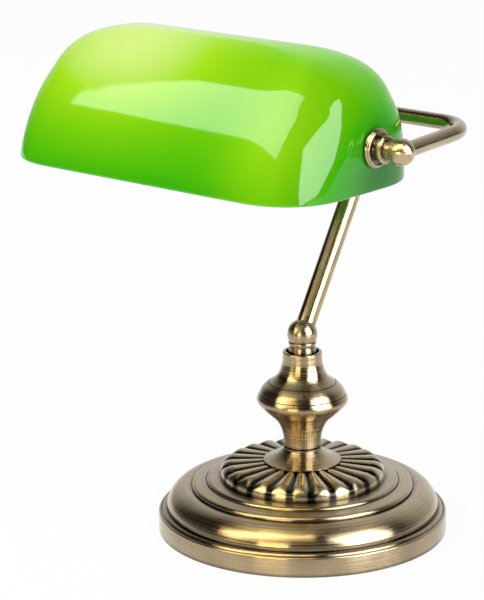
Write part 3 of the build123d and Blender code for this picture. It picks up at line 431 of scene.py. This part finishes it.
cover_line = [(88.6, 0.5), (90.0, 0.5), (90.0, 11.7)]
cover_line += arc((90.0, 11.7), (89.68, 12.48), (88.9, 12.8), 4)
cover_line += [(88.5, 12.8), (88.3, 12.3), (88.0, 12.8)]
cover_line += arc((88.0, 12.8), (86.9, 14.1), (85.1, 14.3), 6)
cover_line += [(84.2, 14.3), (84.2, 16.5), (84.8, 17.1)]
cover_line += arc((84.8, 17.1), (79.6, 25.05), (69.9, 27.6), 24)
cover_line += [(69.9, 26.7), (69.1, 26.7), (69.1, 28.0)]
cover_line += arc((69.1, 28.0), (68.4, 29.7), (66.7, 30.4), 8)
cover_line += [(60.6, 31.2), (60.6, 30.3), (59.9, 30.3), (59.9, 31.2)]
cover_line += arc((59.9, 31.2), (59.3, 32.6), (57.9, 33.2), 8)
cover_line += [(52.0, 33.8), (5.1, 33.8), (5.1, 32.4), (51.4, 32.4), (58.8, 30.6), (68.1, 26.3), (80.3, 19.5),
               (82.6, 11.4), (88.6, 10.8)]
cover_turns = 192
cover_points = []
for radius, height in cover_line:
    for i in range(cover_turns):
        bearing = 2 * math.pi * i / cover_turns
        cover_points.append(
            (0.001 * radius * math.cos(bearing), 0.001 * radius * math.sin(bearing), 0.001 * height)
        )
cover_faces = []
for low in range(len(cover_line)):
    high = (low + 1) % len(cover_line)
    for i in range(cover_turns):
        j = (i + 1) % cover_turns
        cover_faces.append((
            low * cover_turns + i, low * cover_turns + j, high * cover_turns + j, high * cover_turns + i,
        ))
cover_mesh = bpy.data.meshes.new("base_cover_spun")
cover_mesh.from_pydata(cover_points, [], cover_faces)
cover = bpy.data.objects.new("base_cover_spun", cover_mesh)
scene.collection.objects.link(cover)
# The cord's gland comes through a round hole in the back.
gland_low, gland_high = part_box("cord_gland")
gland_hole_radius = 0.0033
bpy.ops.mesh.primitive_cylinder_add(
    vertices=32, radius=gland_hole_radius, depth=0.02,
    location=(0.0, cover_back, 0.5 * (gland_low.z + gland_high.z)), rotation=(math.pi / 2, 0, 0),
)
drill = bpy.context.object
hole = cover.modifiers.new("gland_hole", "BOOLEAN")
hole.object = drill
hole.solver = "EXACT"
bpy.context.view_layer.update()
bored = bpy.data.meshes.new_from_object(cover.evaluated_get(bpy.context.evaluated_depsgraph_get()))
cover.modifiers.clear()
cover.data = bored
bpy.data.objects.remove(drill)
bored.shade_smooth()
bored.materials.clear()
bored.materials.append(aged_brass)
creases = cover.modifiers.new("crisp_lines", "EDGE_SPLIT")
creases.split_angle = math.radians(32)
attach(cover, "base")
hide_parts("base_cover")

# The collar is die-cast: 24 broad lobes with sharp valleys between them run out from under the flare, turn
# down over a round shoulder and fade into a smooth band on the deck.
lobe_count = 24
# Die-cast brass, browned, rubbed back and lacquered: it keeps more brown in its valleys, which look black.
collar_brass = turned_brass(
    "antiqued_brass_cast", "#cdbb94", "#0a0603", 0.9, 0.17, reach=0.006, bare=(0.45, 0.9), valleys=lobe_count,
)
collar_low, collar_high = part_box("fluted_collar")
collar_radius = collar_high.x
shoulder_radius = 0.0077
shoulder_centre = (collar_radius - shoulder_radius, collar_low.z + 0.0016)
lobe_steps = 16
hidden_edge = 0.022       # the collar's inner edge, under the flare
flare_edge = 0.0245       # where the lobes come out from under the flare
lobe_top = collar_high.z - 0.0001
valley_start = 0.0014     # how deep the valleys are at the flare
valley_end = 0.0026       # and at the shoulder
# Radius, height and valley depth, from under the flare over the shoulder to the foot.
collar_line = [(hidden_edge, collar_high.z, 0.0012), (flare_edge, lobe_top, valley_start)]
for step in range(1, 9):
    share = step / 8
    radius = flare_edge + (shoulder_centre[0] - flare_edge) * share
    crest = lobe_top - (lobe_top - shoulder_centre[1] - shoulder_radius) * share
    collar_line.append((radius, crest, valley_start + (valley_end - valley_start) * share))
# The valleys stay full over the first steps of the shoulder and run out before its foot.
for step in range(1, 19):
    turn = math.radians(90 - 5 * step)
    fade = max(0.0, min(1.0, (18 - 1.35 * step) / 12))
    collar_line.append(
        (shoulder_centre[0] + shoulder_radius * math.cos(turn),
         shoulder_centre[1] + shoulder_radius * math.sin(turn), valley_end * fade)
    )
collar_line += [(collar_radius, collar_low.z, 0.0), (hidden_edge, collar_low.z, 0.0)]
lobe_curve = 0.78         # share of a half circle that a lobe's cross-section follows
collar_points = []
for i, (radius, height, depth) in enumerate(collar_line):
    before, after = collar_line[max(0, i - 1)], collar_line[min(len(collar_line) - 1, i + 1)]
    run, rise = after[0] - before[0], after[1] - before[1]
    slant = math.hypot(run, rise)
    inwards = (rise / slant, -run / slant)
    for step in range(lobe_count * lobe_steps):
        bearing = 2 * math.pi * step / (lobe_count * lobe_steps)
        across = 2 * (step % lobe_steps) / lobe_steps - 1
        valley = (1 - math.sqrt(1 - (lobe_curve * across) ** 2)) / (1 - math.sqrt(1 - lobe_curve**2))
        reach = radius + inwards[0] * depth * valley
        collar_points.append((reach * math.cos(bearing), reach * math.sin(bearing),
                              height + inwards[1] * depth * valley))
around = lobe_count * lobe_steps
collar_faces = []
for low in range(len(collar_line)):
    high = (low + 1) % len(collar_line)
    for i in range(around):
        j = (i + 1) % around
        collar_faces.append((low * around + i, high * around + i, high * around + j, low * around + j))
collar_mesh = bpy.data.meshes.new("fluted_collar_lobes")
collar_mesh.from_pydata(collar_points, [], collar_faces)
collar_mesh.shade_smooth()
collar_mesh.materials.append(collar_brass)
collar = bpy.data.objects.new("fluted_collar_lobes", collar_mesh)
scene.collection.objects.link(collar)
# The valley edges and the foot stay crisp.
creases = collar.modifiers.new("sharp_valleys", "EDGE_SPLIT")
creases.split_angle = math.radians(35)
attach(collar, "base")
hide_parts("fluted_collar")


# ---------------------------------------------------------------- knuckle
# A neck screwed on the lamp pipe carries a thin ring and a ball on a stud, on which the lamp turns. The
# ball is slotted over the stud's tongue, and a pin through both lets the stem tilt.
dress(aged_brass, "swivel_neck", "swivel_ring", "stem_ball")
pin_radius = 0.0015
pin_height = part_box("knuckle_pin")[0].z + pin_radius
# Brass pin, turned about its own axis and hardly browned.
pin_brass = turned_brass("brass_pin_turned", "#c9ad78", "#33240f", 1.5, 0.2, "X", (0.0, 0.0, pin_height))
dress(pin_brass, "knuckle_pin", "swivel_stud")


# ---------------------------------------------------------------- stem and yoke
# Brass tubes drawn through a die and bent. The stem is screwed into the ball, a cast hub holds it to the
# yoke, and the yoke's arms reach round the shade to its two pivots.
def drawn_brass(name, bright, brown, shine, lines):
    """Brass tube drawn through a die, with fine lines along it; lines is the direction across them."""
    material, tree, output = start_material(name)
    place = add_node(tree, "ShaderNodeTexCoord")
    die_place = add_node(
        tree, "ShaderNodeVectorMath", {"operation": "MULTIPLY", 1: lines}, {0: place.outputs["Object"]},
    )
    # Die lines are about 0.1 mm apart and look 0.8 mm apart here, so that they show.
    die_lines = add_node(
        tree, "ShaderNodeTexNoise", {"Scale": 1250.0, "Detail": 2.0}, {"Vector": die_place.outputs[0]},
    )
    clouds = add_node(
        tree, "ShaderNodeTexNoise", {"Scale": 70.0, "Detail": 3.0}, {"Vector": place.outputs["Object"]},
    )
    hollows = add_node(
        tree, "ShaderNodeAmbientOcclusion", {"samples": 8, "Distance": 0.002, "Color": (1, 1, 1, 1)},
    )
    rubbed = add_node(
        tree, "ShaderNodeMapRange", {"From Min": 0.4, "From Max": 0.85}, {"Value": hollows.outputs["AO"]},
    )
    streaks = add_node(
        tree, "ShaderNodeMapRange", {"From Min": 0.25, "From Max": 0.75, "To Min": 0.75, "To Max": 1.05},
        {"Value": die_lines.outputs["Fac"]},
    )
    cloudy = add_node(
        tree, "ShaderNodeMapRange", {"From Min": 0.3, "From Max": 0.7, "To Min": 0.85, "To Max": 1.05},
        {"Value": clouds.outputs["Fac"]},
    )
    patchy = add_node(
        tree, "ShaderNodeMath", {"operation": "MULTIPLY"},
        {0: streaks.outputs["Result"], 1: cloudy.outputs["Result"]},
    )
    bared = add_node(
        tree, "ShaderNodeMath", {"operation": "MULTIPLY", "use_clamp": True},
        {0: patchy.outputs[0], 1: rubbed.outputs["Result"]},
    )
    tone = add_node(
        tree, "ShaderNodeMix", {"data_type": "RGBA", "A": linear(brown), "B": linear(bright)},
        {"Factor": bared.outputs[0]},
    )
    gloss = add_node(
        tree, "ShaderNodeMapRange",
        {"From Min": 0.3, "From Max": 0.7, "To Min": shine, "To Max": shine + 0.08},
        {"Value": die_lines.outputs["Fac"]},
    )
    relief = add_node(
        tree, "ShaderNodeBump", {"Strength": 0.15, "Distance": 0.00004}, {"Height": die_lines.outputs["Fac"]},
    )
    metal = add_node(
        tree, "ShaderNodeBsdfPrincipled",
        {"Metallic": 1.0, "Coat Weight": 0.5, "Coat Roughness": 0.1},
        {"Base Color": tone.outputs["Result"], "Roughness": gloss.outputs["Result"],
         "Normal": relief.outputs["Normal"]},
    )
    tree.links.new(metal.outputs[0], output.inputs["Surface"])
    return material


# Drawn brass, browned and lacquered: long sharp highlights, slightly broken by the die lines.
dress(drawn_brass("antiqued_brass_drawn", "#c4ab7e", "#2a1c0e", 0.14, (1.0, 0.04, 0.04)), "stem_tube")
pale_brass = drawn_brass("pale_brass_drawn", "#c4b394", "#2e2418", 0.16, (0.04, 0.04, 1.0))
dress(pale_brass, "yoke_bar", "yoke_hub")


# ---------------------------------------------------------------- pivots
# At each end of the shade a threaded nipple runs through the glass into a ball on the yoke's arm. A cup
# washer with a rubber gasket and a thin locknut hold the glass from outside, a washer and gasket inside.
nipple_low, nipple_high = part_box("pivot_nipple_right")
pivot_place = (0.0, 0.5 * (nipple_low.y + nipple_high.y), 0.5 * (nipple_low.z + nipple_high.z))
# Turned brass again, but about the pivot's own axis and rubbed back further.
pivot_brass = turned_brass("pale_brass_turned", "#c8b48c", "#241a10", 1.4, 0.2, "X", pivot_place)
# Nitrile rubber, moulded: black and dull, with the faint bloom that such rubber gets.
gasket_rubber = moulded("nitrile_rubber_moulded", "#101010", "#1e1e1e", 0.75, 2500.0)
for side in ("left", "right"):
    for part in ("pivot_ball", "pivot_bush", "pivot_nipple", "cup_washer", "locknut"):
        dress(pivot_brass, f"{part}_{side}")
    dress(gasket_rubber, f"outer_gasket_{side}", f"inner_gasket_{side}")
    dress(zinc_steel, f"inner_washer_{side}")


# ---------------------------------------------------------------- lampholder and bulb
# A phenolic lampholder screws on the right nipple inside the glass. Its ceramic insert carries the brass
# screw shell and the centre contact, and a frosted tubular bulb is screwed into it.
dress(zinc_steel, "jam_nut")
# Phenolic, press-moulded: a hard glossy black with a faint brown cloud.
dress(moulded("phenolic_press_moulded", "#161210", "#241c17", 0.22, 400.0, 1.6), "holder_cap", "holder_body")
# Steatite, fired without glaze: chalky cream.
dress(moulded("steatite_ceramic_fired", "#cfc8b8", "#e2dccf", 0.7, 1800.0), "holder_insert")
# Bright brass, stamped: the screw shell, the contact and the bulb's cap.
contact_brass = turned_brass("bright_brass_stamped", "#d9bd78", "#8a6a34", 1.5, 0.2, "X", pivot_place)
dress(contact_brass, "screw_shell", "centre_contact", "bulb_cap")
# Soda-lime glass, frosted inside with acid: milky white behind a clear shiny face.
frosted_glass, tree, output = start_material("soda_lime_glass_frosted")
place = add_node(tree, "ShaderNodeTexCoord")
frost = add_node(tree, "ShaderNodeTexNoise", {"Scale": 200.0, "Detail": 3.0}, {"Vector": place.outputs["Object"]})
frost_tone = add_node(
    tree, "ShaderNodeMix", {"data_type": "RGBA", "A": linear("#e6e5de"), "B": linear("#f4f3ee")},
    {"Factor": frost.outputs["Fac"]},
)
bulb_skin = add_node(
    tree, "ShaderNodeBsdfPrincipled",
    {"Roughness": 0.12, "IOR": 1.52, "Subsurface Weight": 0.3, "Subsurface Scale": 0.004},
    {"Base Color": frost_tone.outputs["Result"]},
)
tree.links.new(bulb_skin.outputs[0], output.inputs["Surface"])
dress(frosted_glass, "bulb_glass")


# ---------------------------------------------------------------- shade
# One shell of cased glass, blown into a mould: green over opal white, open underneath, with a hole near
# each end for the pivots. The rim is ground and fire-polished round.
shade_low, shade_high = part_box("glass_shade")
# A solver found the reaches and the powers from the shade's outline.
half_length = 0.1148
front_reach = 0.0601      # crest to front rim
rear_reach = 0.0614       # crest to rear rim
corner_reach = 0.043
corner_power = 2.35       # 2 is a round corner, more is squarer
length_power, front_power, rear_power = 4.4, 1.41, 2.5
glass_wall = 0.003
corner_steps, long_steps, end_steps = 12, 20, 10
shade_height = shade_high.z - shade_low.z
crest_y = shade_low.y + front_reach


def squared(reach, power, level):
    """How far the glass still reaches at a share of its height."""
    return reach * max(0.0, 1.0 - level**power) ** (1.0 / power)


def glass_ring(inset, height):
    """A rounded rectangle of points round the shade, at a height above its rim."""
    level = max(0.0, height) / (shade_height - inset)
    side = squared(half_length - inset, length_power, level)
    front = crest_y - squared(front_reach - inset, front_power, level)
    rear = crest_y + squared(rear_reach - inset, rear_power, level)
    corner = min(corner_reach - inset, 0.49 * (rear - front), 0.98 * side)
    centres = ((side - corner, front + corner, -90), (side - corner, rear - corner, 0),
               (corner - side, rear - corner, 90), (corner - side, front + corner, 180))
    ring = []
    for i, (x, y, bearing) in enumerate(centres):
        bend = []
        for step in range(corner_steps + 1):
            turn = math.radians(bearing + 90 * step / corner_steps)
            bend.append(tuple(
                middle + corner * math.copysign(abs(part) ** (2 / corner_power), part)
                for middle, part in ((x, math.cos(turn)), (y, math.sin(turn)))
            ))
        ring += bend
        after = centres[(i + 1) % 4]
        turn = math.radians(after[2])
        start = (after[0] + corner * round(math.cos(turn)), after[1] + corner * round(math.sin(turn)))
        runs = long_steps if i % 2 else end_steps
        for step in range(1, runs):
            share = step / runs
            ring.append(tuple(a + (b - a) * share for a, b in zip(bend[-1], start)))
    return [(x, y, shade_low.z + height) for x, y in ring]


# Levels stand close together near the crest, where the glass closes.
half_wall = glass_wall / 2
climb = [math.sin(math.radians(81 * i / 26)) for i in range(27)]
climb += [math.cos(math.radians(a)) for a in (7.6, 6.2, 4.9, 3.7, 2.6, 1.7, 1.0, 0.5)]
rings = [glass_ring(0, half_wall + (shade_height - half_wall) * level) for level in reversed(climb)]
rim_steps = 8
for step in range(1, rim_steps):
    turn = math.pi * step / rim_steps
    ring = glass_ring(half_wall * (1 - math.cos(turn)), 0)
    rings.append([(x, y, z + half_wall * (1 - math.sin(turn))) for x, y, z in ring])
rings += [glass_ring(glass_wall, half_wall + (shade_height - glass_wall - half_wall) * level) for level in climb]

around = len(rings[0])
faces = [tuple(range(around))]
for low in range(0, (len(rings) - 1) * around, around):
    for i in range(around):
        j = (i + 1) % around
        faces.append((low + i, low + around + i, low + around + j, low + j))
faces.append(tuple(reversed(range((len(rings) - 1) * around, len(rings) * around))))
glass_mesh = bpy.data.meshes.new("shade_glass")
glass_mesh.from_pydata([point for ring in rings for point in ring], [], faces)
opal_from = 1 + (len(climb) + rim_steps - 1) * around
for face in glass_mesh.polygons[opal_from:]:
    face.material_index = 1
glass = bpy.data.objects.new("shade_glass", glass_mesh)
scene.collection.objects.link(glass)

# The drill for the pivot holes leaves 1.1 mm round the nipples, which the washers cover.
pivot_hole_radius = 0.0050
bpy.ops.mesh.primitive_cylinder_add(
    vertices=48, radius=pivot_hole_radius, depth=0.3, location=pivot_place, rotation=(0, math.pi / 2, 0),
)
drill = bpy.context.object
holes = glass.modifiers.new("pivot_holes", "BOOLEAN")
holes.object = drill
holes.solver = "EXACT"
bpy.context.view_layer.update()
drilled = bpy.data.meshes.new_from_object(glass.evaluated_get(bpy.context.evaluated_depsgraph_get()))
glass.modifiers.clear()
glass.data = drilled
bpy.data.objects.remove(drill)
drilled.shade_smooth()

cased_glass, tree, output = start_material("cased_glass_blown")
place = add_node(tree, "ShaderNodeTexCoord")
# The green is paler towards the crest and deeper towards the rim.
height = add_node(tree, "ShaderNodeSeparateXYZ", {}, {0: place.outputs["Object"]})
paler_upwards = add_node(
    tree, "ShaderNodeMapRange",
    {"From Min": shade_low.z, "From Max": shade_high.z, "To Min": 0.36, "To Max": 0.52},
    {"Value": height.outputs["Z"]},
)
paleness = paler_upwards.outputs["Result"]
# It is paler in a wide patch left of the middle and in a narrow one at the right front corner, and
# deeper at the right end. Places and half-widths are in metres.
for centre, spread, paler in (
    ((-0.045, -0.100, 0.310), (0.085, 0.060, 0.050), 0.50),
    ((0.085, -0.120, 0.265), (0.030, 0.045, 0.050), 0.30),
    ((0.115, -0.070, 0.250), (0.020, 0.040, 0.035), -0.35),
):
    apart = add_node(
        tree, "ShaderNodeVectorMath", {"operation": "SUBTRACT", 1: centre}, {0: place.outputs["Object"]},
    )
    in_widths = add_node(tree, "ShaderNodeVectorMath", {"operation": "DIVIDE", 1: spread}, {0: apart.outputs[0]})
    squared_away = add_node(
        tree, "ShaderNodeVectorMath", {"operation": "DOT_PRODUCT"},
        {0: in_widths.outputs[0], 1: in_widths.outputs[0]},
    )
    fading = add_node(
        tree, "ShaderNodeMath", {"operation": "POWER", 0: math.exp(-1)}, {1: squared_away.outputs["Value"]},
    )
    patch = add_node(
        tree, "ShaderNodeMath", {"operation": "MULTIPLY_ADD", 1: paler}, {0: fading.outputs[0], 2: paleness},
    )
    paleness = patch.outputs[0]
green = add_node(tree, "ShaderNodeValToRGB", None, {"Fac": paleness})
# Bottle green at the deep end, then leaf green, lime, and pale green at the pale end.
for index, (share, colour) in enumerate((
    (0.10, "#0a7a08"), (0.40, "#3fb80a"), (0.60, "#7dd10b"), (0.80, "#a8e41c"), (1.00, "#dcf888"),
)):
    stop = green.color_ramp.elements[index] if index < 2 else green.color_ramp.elements.new(share)
    stop.position, stop.color = share, linear(colour)
# Slow waves from the mould, 8 mm long and about a hundredth of a millimetre high, make mirrored edges ripple.
waves = add_node(tree, "ShaderNodeTexNoise", {"Scale": 120.0, "Detail": 1.0}, {"Vector": place.outputs["Object"]})
ripple = add_node(
    tree, "ShaderNodeBump", {"Strength": 1.0, "Distance": 0.000012}, {"Height": waves.outputs["Fac"]},
)
body = add_node(
    tree, "ShaderNodeBsdfPrincipled", {"Roughness": 0.05, "IOR": 1.5},
    {"Base Color": green.outputs["Color"], "Normal": ripple.outputs["Normal"]},
)
tree.links.new(body.outputs[0], output.inputs["Surface"])
drilled.materials.append(cased_glass)
# Opal glass inside: milky white that scatters the bulb's light, as glossy as the green.
opal_glass, tree, output = start_material("opal_glass_casing")
place = add_node(tree, "ShaderNodeTexCoord")
milk = add_node(tree, "ShaderNodeTexNoise", {"Scale": 30.0, "Detail": 2.0}, {"Vector": place.outputs["Object"]})
milk_tone = add_node(
    tree, "ShaderNodeMix", {"data_type": "RGBA", "A": linear("#e8efdf"), "B": linear("#f5f8ee")},
    {"Factor": milk.outputs["Fac"]},
)
opal = add_node(
    tree, "ShaderNodeBsdfPrincipled", {"Roughness": 0.08, "IOR": 1.5},
    {"Base Color": milk_tone.outputs["Result"]},
)
tree.links.new(opal.outputs[0], output.inputs["Surface"])
drilled.materials.append(opal_glass)
glass_alone.objects.link(glass)
all_but_glass.objects.link(glass)
all_but_glass.collection_objects[0].light_linking.link_state = "EXCLUDE"
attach(glass, "shade")
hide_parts("glass_shade")
